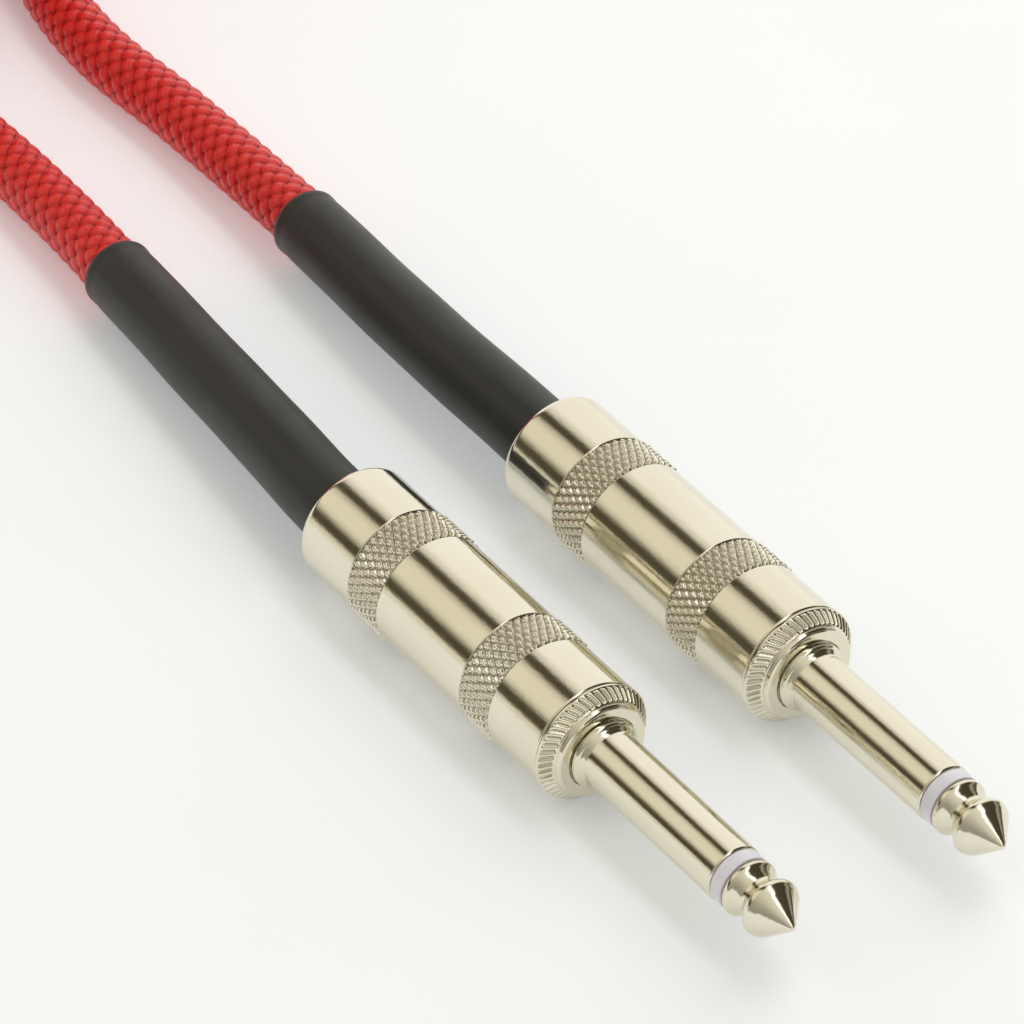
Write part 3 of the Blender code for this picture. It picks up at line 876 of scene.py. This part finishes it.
def make_collar(plug, material):
    """Collar: flat face, round inner bevel, serrated bevel, thin rim, then the thread for the handle."""
    steps = TEETH * STEPS_PER_TOOTH
    angle = (np.arange(steps) * TURN / steps)[None]
    bevel, bevel_groove_shade = serrated_bevel(angle)
    front = rounded(
        [
            (RECESS_TO, COLLAR_BORE_R),
            (RECESS_TO, RECESS_R),
            (FACE_AT, RECESS_R),
            (FACE_AT, FACE_R),
            (FACE_AT + 0.12, FACE_R + 0.22),
            (FACE_AT + 0.42, FACE_R + 0.36),
            (TEETH_FROM - 0.12, TEETH_R - 0.16),
            (TEETH_FROM - 0.04, TEETH_R - 0.02),
        ],
        0.05,
    )
    rim = rounded(
        [
            (RIM_FROM + 0.02, RIM_R - 0.04),
            (RIM_FROM + 0.05, RIM_R),
            (RIM_TO, RIM_R),
            (RIM_TO, THREAD_R),
            (RIM_TO + 0.5, THREAD_R),
        ],
        0.04,
    )
    thread = thread_rows(RIM_TO + 0.6, COLLAR_TO - 0.3, 72, THREAD_R, -0.32, angle)
    rear = rounded([(COLLAR_TO - 0.28, THREAD_R), (COLLAR_TO, THREAD_R - 0.3), (COLLAR_TO, COLLAR_BORE_R)])
    stretches = [
        (spun(front, steps), 0),
        (bevel, bevel_groove_shade),
        (spun(rim, steps), 0),
        (thread, 0),
        (spun(rear, steps), 0),
    ]
    collar = grooved(f"{plug}_collar_serrated", plug, stretches, material)
    return placed(collar, "cable", "nickel", f"{plug}_collar")


def grooved(name, plug, stretches, material):
    """A closed piece round a plug's axis from stretches of rows, each with its share of painted groove shade.
    """
    whole = np.concatenate([shape for shape, _ in stretches])
    groove_shades = np.concatenate([np.broadcast_to(dark, shape.shape[:2]) for shape, dark in stretches])
    points = rings(plug, whole[..., 0], whole[..., 1], whole.shape[1])
    return ring_mesh(name, points, material, {"groove_shade": groove_shades})


def knurl_band(start, end, angle):
    """Rows of a diamond knurl, and the painted shade of the grooves at each point.

    Rounded pyramids stand between crossing grooves, and a groove runs round each end of the band.
    """
    rows = 71
    end_groove, pyramids_rise = 0.14, 0.16
    cut, stand = 0.24, 0.42
    dark, shade_to = 0.9, 0.45  # the first, how dark the painted shade in a groove gets; the second, the pyramid's height where that painted shade ends
    along = np.linspace(start, end, rows)[:, None]
    around = angle * KNURLS / TURN
    lines = [triangle_wave(around + sign * along / KNURL_PITCH) for sign in (1, -1)]
    from_edge = np.minimum(along - start, end - along)
    height = (1 - (1 - np.minimum(*lines)) ** 2) * smooth_step((from_edge - end_groove) / pyramids_rise)
    fade = smooth_step(from_edge / end_groove)
    radius = HANDLE_R + fade * (stand * height - cut)
    # Painted shade: the colour darkens in the grooves between the pyramids.
    groove_shade = dark * fade * smooth_step(1 - height / shade_to)
    return np.stack([np.broadcast_to(along, radius.shape), radius], axis=-1), groove_shade


def make_handle(plug, material):
    """Barrel: two knurled bands, round rear shoulder, and the thread inside its mouth."""
    steps = KNURLS * STEPS_PER_KNURL
    angle = (np.arange(steps) * TURN / steps)[None]
    thread = thread_rows(HANDLE_THREAD_TO, HANDLE_FROM + 0.3, 48, HANDLE_THREAD_R, 0.14, angle)
    front = rounded(
        [
            (HANDLE_FROM + 0.28, HANDLE_THREAD_R),
            (HANDLE_FROM, HANDLE_THREAD_R + 0.25),
            (HANDLE_FROM, HANDLE_R - 0.16),
            (HANDLE_FROM + 0.16, HANDLE_R),
            (BANDS[0][0] - 0.02, HANDLE_R),
        ],
        0.08,
    )
    between = [(BANDS[0][1] + 0.03, HANDLE_R), (BANDS[1][0] - 0.03, HANDLE_R)]
    shoulder = [
        (BANDS[1][1] + 0.03, HANDLE_R),
        *arc(HANDLE_TO - SHOULDER_R, HANDLE_R - SHOULDER_R, SHOULDER_R, 0, 90, 12),
    ]
    rear = rounded(
        [
            (HANDLE_TO, HANDLE_R - SHOULDER_R - 0.1),
            (HANDLE_TO, REAR_HOLE_R),
            (REAR_WALL_FROM, REAR_HOLE_R),
            (REAR_WALL_FROM, HANDLE_BORE_R),
            (HANDLE_THREAD_TO + 0.1, HANDLE_BORE_R),
            (HANDLE_THREAD_TO + 0.05, HANDLE_THREAD_R),
        ],
        0.15,
    )
    front_band, rear_band = (knurl_band(*band, angle) for band in BANDS)
    stretches = [
        (spun(front, steps), 0),
        front_band,
        (spun(between, steps), 0),
        rear_band,
        (spun(shoulder, steps), 0),
        (spun(rear, steps), 0),
        (thread, 0),
    ]
    handle = grooved(f"{plug}_handle_knurled", plug, stretches, material)
    return placed(handle, f"handle_{plug[-1]}", "nickel", f"{plug}_handle")


def make_shrink(plug, material):
    """Heat-shrink sleeve, slightly uneven, with a blunt cut end that stands a little proud."""
    start, end = SHRINK_FROM, SHRINK_TO[plug]
    line = np.array([to_row(plug, p) for p in smooth_line(ROUTES[plug], 0.5)])
    tip_y = PLUGS[plug][1]
    line = line[(line[:, 1] >= tip_y + start) & (line[:, 1] <= tip_y + end)]
    steps = 96
    share = np.linspace(0, 1, len(line))[:, None]
    angle = (np.arange(steps) * TURN / steps)[None]
    from_end = (1 - share) * (end - start)
    narrows_by = 1.15  # so it is at its end radius a little before its end
    radius = SHRINK_R + (SHRINK_END_R - SHRINK_R) * smooth_step(share * narrows_by)
    swell, oval = 0.022, 0.018
    wave = swell * np.sin(share * 23 + 1.3 * np.sin(angle)) + oval * np.sin(2 * angle + share * 9)
    stand, stand_from, stand_rise = 0.09, 0.9, 0.6
    dip, dip_from, dip_fall = 0.05, 2.4, 1.2
    lip = stand * smooth_step((stand_from - from_end) / stand_rise)
    lip = lip - dip * smooth_step((dip_from - from_end) / dip_fall)
    outer = radius + wave + lip
    bore_clearance = 0.02
    inner = np.broadcast_to(radius - SHRINK_WALL + bore_clearance, outer.shape)
    skin = tube_rings(line, outer, steps)
    bore = tube_rings(line, inner, steps)[::-1]
    edge_share = np.array([0.12, 0.5, 0.88])[:, None, None]
    cut = skin[-1] + (bore[0] - skin[-1]) * edge_share
    bulge = np.array([0.0, 0.06, 0.0])[:, None, None] * np.array((0.0, 1.0, 0.0))
    mouth = bore[-1] + (skin[0] - bore[-1]) * edge_share
    points = np.concatenate([skin, cut + bulge, bore, mouth])
    sleeve = ring_mesh(f"{plug}_shrink_sleeve", points, material)
    return placed(sleeve, "cable", "heat_shrink", f"{plug}_shrink")


def repaint(node, material):
    """Gives a carried-over CAD node its detailed material."""
    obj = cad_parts[node]
    for place in obj.material_slots:
        place.material = material


# ---------------------------------------------------------------- stage and light


def make_floor(material):
    size = 6000.0
    corners = np.array([(-size, -size, 0), (size, -size, 0), (size, size, 0), (-size, size, 0)])
    floor = new_mesh("studio_floor", corners, [np.array([[0, 1, 2, 3]])], material)


# The tent's panels: angle from straight up towards +X, in degrees, and the light's colour there
FRONT_PANELS = [
    (-100, (0.30, 0.29, 0.25)),
    (-62, (0.40, 0.385, 0.33)),
    (-22, (0.74, 0.71, 0.62)),
    (4, (0.85, 0.83, 0.75)),
    (9, (1.9, 1.9, 1.85)),
    (17, (1.9, 1.9, 1.85)),
    (23, (0.08, 0.068, 0.043)),
    (64, (0.06, 0.05, 0.035)),
    (72, (0.42, 0.40, 0.33)),
    (82, (0.09, 0.08, 0.055)),
    (100, (0.10, 0.09, 0.06)),
]
REAR_PANELS = [
    (-100, (0.86, 0.83, 0.74)),
    (-84, (0.82, 0.78, 0.66)),
    (-78, (0.085, 0.072, 0.045)),
    (-65, (0.08, 0.068, 0.043)),
    (-60, (0.32, 0.30, 0.235)),
    (-53, (0.72, 0.68, 0.57)),
    (-45, (0.87, 0.825, 0.70)),
    (-22, (0.86, 0.81, 0.69)),
    (-14, (0.67, 0.63, 0.53)),
    (-9, (0.34, 0.315, 0.25)),
    (-6, (0.08, 0.068, 0.043)),
    (5, (0.08, 0.068, 0.043)),
    (12, (0.72, 0.69, 0.60)),
    (26, (1.05, 1.03, 0.98)),
    (95, (1.10, 1.09, 1.06)),
]


def make_world():
    """A pale studio tent. Its panels run along the plugs, so polished metal shows lengthwise streaks.

    Directions that lean towards the cable's side (+Y) meet the rear panels, and the others the front ones.
    """
    front_to, rear_from = 0.05, 0.35
    world = bpy.data.worlds.new("studio_tent")
    world.use_nodes = True
    bpy.context.scene.world = world
    tree = world.node_tree
    background = tree.nodes["Background"]
    coordinates = tree.nodes.new("ShaderNodeTexCoord")
    parts = tree.nodes.new("ShaderNodeSeparateXYZ")
    tilt = tree.nodes.new("ShaderNodeMath")
    tilt.operation = "ARCTAN2"
    share = tree.nodes.new("ShaderNodeMapRange")
    share.inputs[1].default_value = -math.pi
    share.inputs[2].default_value = math.pi
    tree.links.new(coordinates.outputs["Generated"], parts.inputs[0])
    tree.links.new(parts.outputs["X"], tilt.inputs[0])
    tree.links.new(parts.outputs["Z"], tilt.inputs[1])
    tree.links.new(tilt.outputs[0], share.inputs[0])
    halves = []
    for panels in (FRONT_PANELS, REAR_PANELS):
        ramp = tree.nodes.new("ShaderNodeValToRGB")
        fill_ramp(ramp, [((angle + 180) / 360, colour) for angle, colour in panels])
        tree.links.new(share.outputs[0], ramp.inputs["Fac"])
        halves.append(ramp.outputs["Color"])
    rearward = tree.nodes.new("ShaderNodeMapRange")
    rearward.inputs[1].default_value = front_to
    rearward.inputs[2].default_value = rear_from
    tree.links.new(parts.outputs["Y"], rearward.inputs[0])
    both = tree.nodes.new("ShaderNodeMix")
    both.data_type = "RGBA"
    colour_in = [socket for socket in both.inputs if socket.type == "RGBA"]
    tree.links.new(rearward.outputs[0], both.inputs["Factor"])
    for source, socket in zip(halves, colour_in):
        tree.links.new(source, socket)
    mixed = next(socket for socket in both.outputs if socket.type == "RGBA")
    tree.links.new(mixed, background.inputs["Color"])
    background.inputs["Strength"].default_value = 1.0


def make_light():
    """A softbox above and to the right. It is hidden from reflections, so metal mirrors only the tent."""
    aim = Vector((0, 0.05, 0))
    data = bpy.data.lights.new("overhead_softbox", "AREA")
    data.shape = "RECTANGLE"
    data.size = 0.9
    data.size_y = 1.4
    data.energy = 4.0
    light = bpy.data.objects.new("overhead_softbox", data)
    bpy.context.scene.collection.objects.link(light)
    light.location = (0.62, 0.25, 0.75)
    light.visible_glossy = False
    light.rotation_euler = (aim - light.location).to_track_quat("-Z", "Y").to_euler()


scene = bpy.context.scene
scene.view_settings.view_transform = "Standard"
make_camera()
STRAP = dull_material(
    "woven_strap", (0.012, 0.012, 0.013), (0.035, 0.035, 0.038), (0.65, 0.9), 1.0, 0.00008, (2600, 900, 2600)
)
RED_BRAID = braid_material()
make_cord(RED_BRAID, make_tie(STRAP))

NICKEL = nickel_material()
WHITE = white_plastic_material()
SHRINK = shrink_material()
TINNED = metal_material("tinned_terminal", (0.60, 0.59, 0.56), (0.76, 0.75, 0.71), (0.28, 0.45), 2500.0)
SOLDER = metal_material("solder_blob", (0.58, 0.59, 0.61), (0.72, 0.73, 0.75), (0.18, 0.40), 1400.0)
COPPER = metal_material(
    "copper_strands", (0.60, 0.28, 0.16), (0.84, 0.48, 0.32), (0.22, 0.40), 1.0, (9000, 900, 9000)
)
FIBRE = dull_material("fibre_washer", (0.20, 0.09, 0.045), (0.36, 0.20, 0.11), (0.6, 0.85), 3000.0, 0.00002)
LINER = dull_material(
    "black_liner", (0.030, 0.030, 0.032), (0.052, 0.052, 0.054), (0.4, 0.6), 1800.0, 0.00001
)
CORE = dull_material("core_insulation", (0.70, 0.69, 0.64), (0.80, 0.79, 0.75), (0.28, 0.42), 900.0, 0.000006)
JACKET = dull_material(
    "black_jacket", (0.010, 0.010, 0.011), (0.022, 0.022, 0.023), (0.45, 0.65), 2600.0, 0.00001
)
CLOTH = dull_material(
    "covered_braid", (0.34, 0.006, 0.008), (0.66, 0.045, 0.042), (0.4, 0.6), 1.0, 0.00006, (1100, 1700, 1100)
)

for plug_name in PLUGS:
    make_tip(plug_name, NICKEL)
    make_tip_ring(plug_name, WHITE)
    make_shaft(plug_name, NICKEL)
    make_collar(plug_name, NICKEL)
    make_handle(plug_name, NICKEL)
    make_shrink(plug_name, SHRINK)
    for part, paint in (
        ("rod_tube", WHITE),
        ("ground_terminal", TINNED),
        ("washer", FIBRE),
        ("tip_lug", TINNED),
        ("liner", LINER),
        ("core", CORE),
        ("tip_solder", SOLDER),
        ("ground_solder", SOLDER),
        ("conductor", COPPER),
        ("screen", COPPER),
        ("jacket", JACKET),
        ("cover", CLOTH),
    ):
        repaint(f"{plug_name}_{part}", paint)

make_floor(floor_material())
make_world()
make_light()
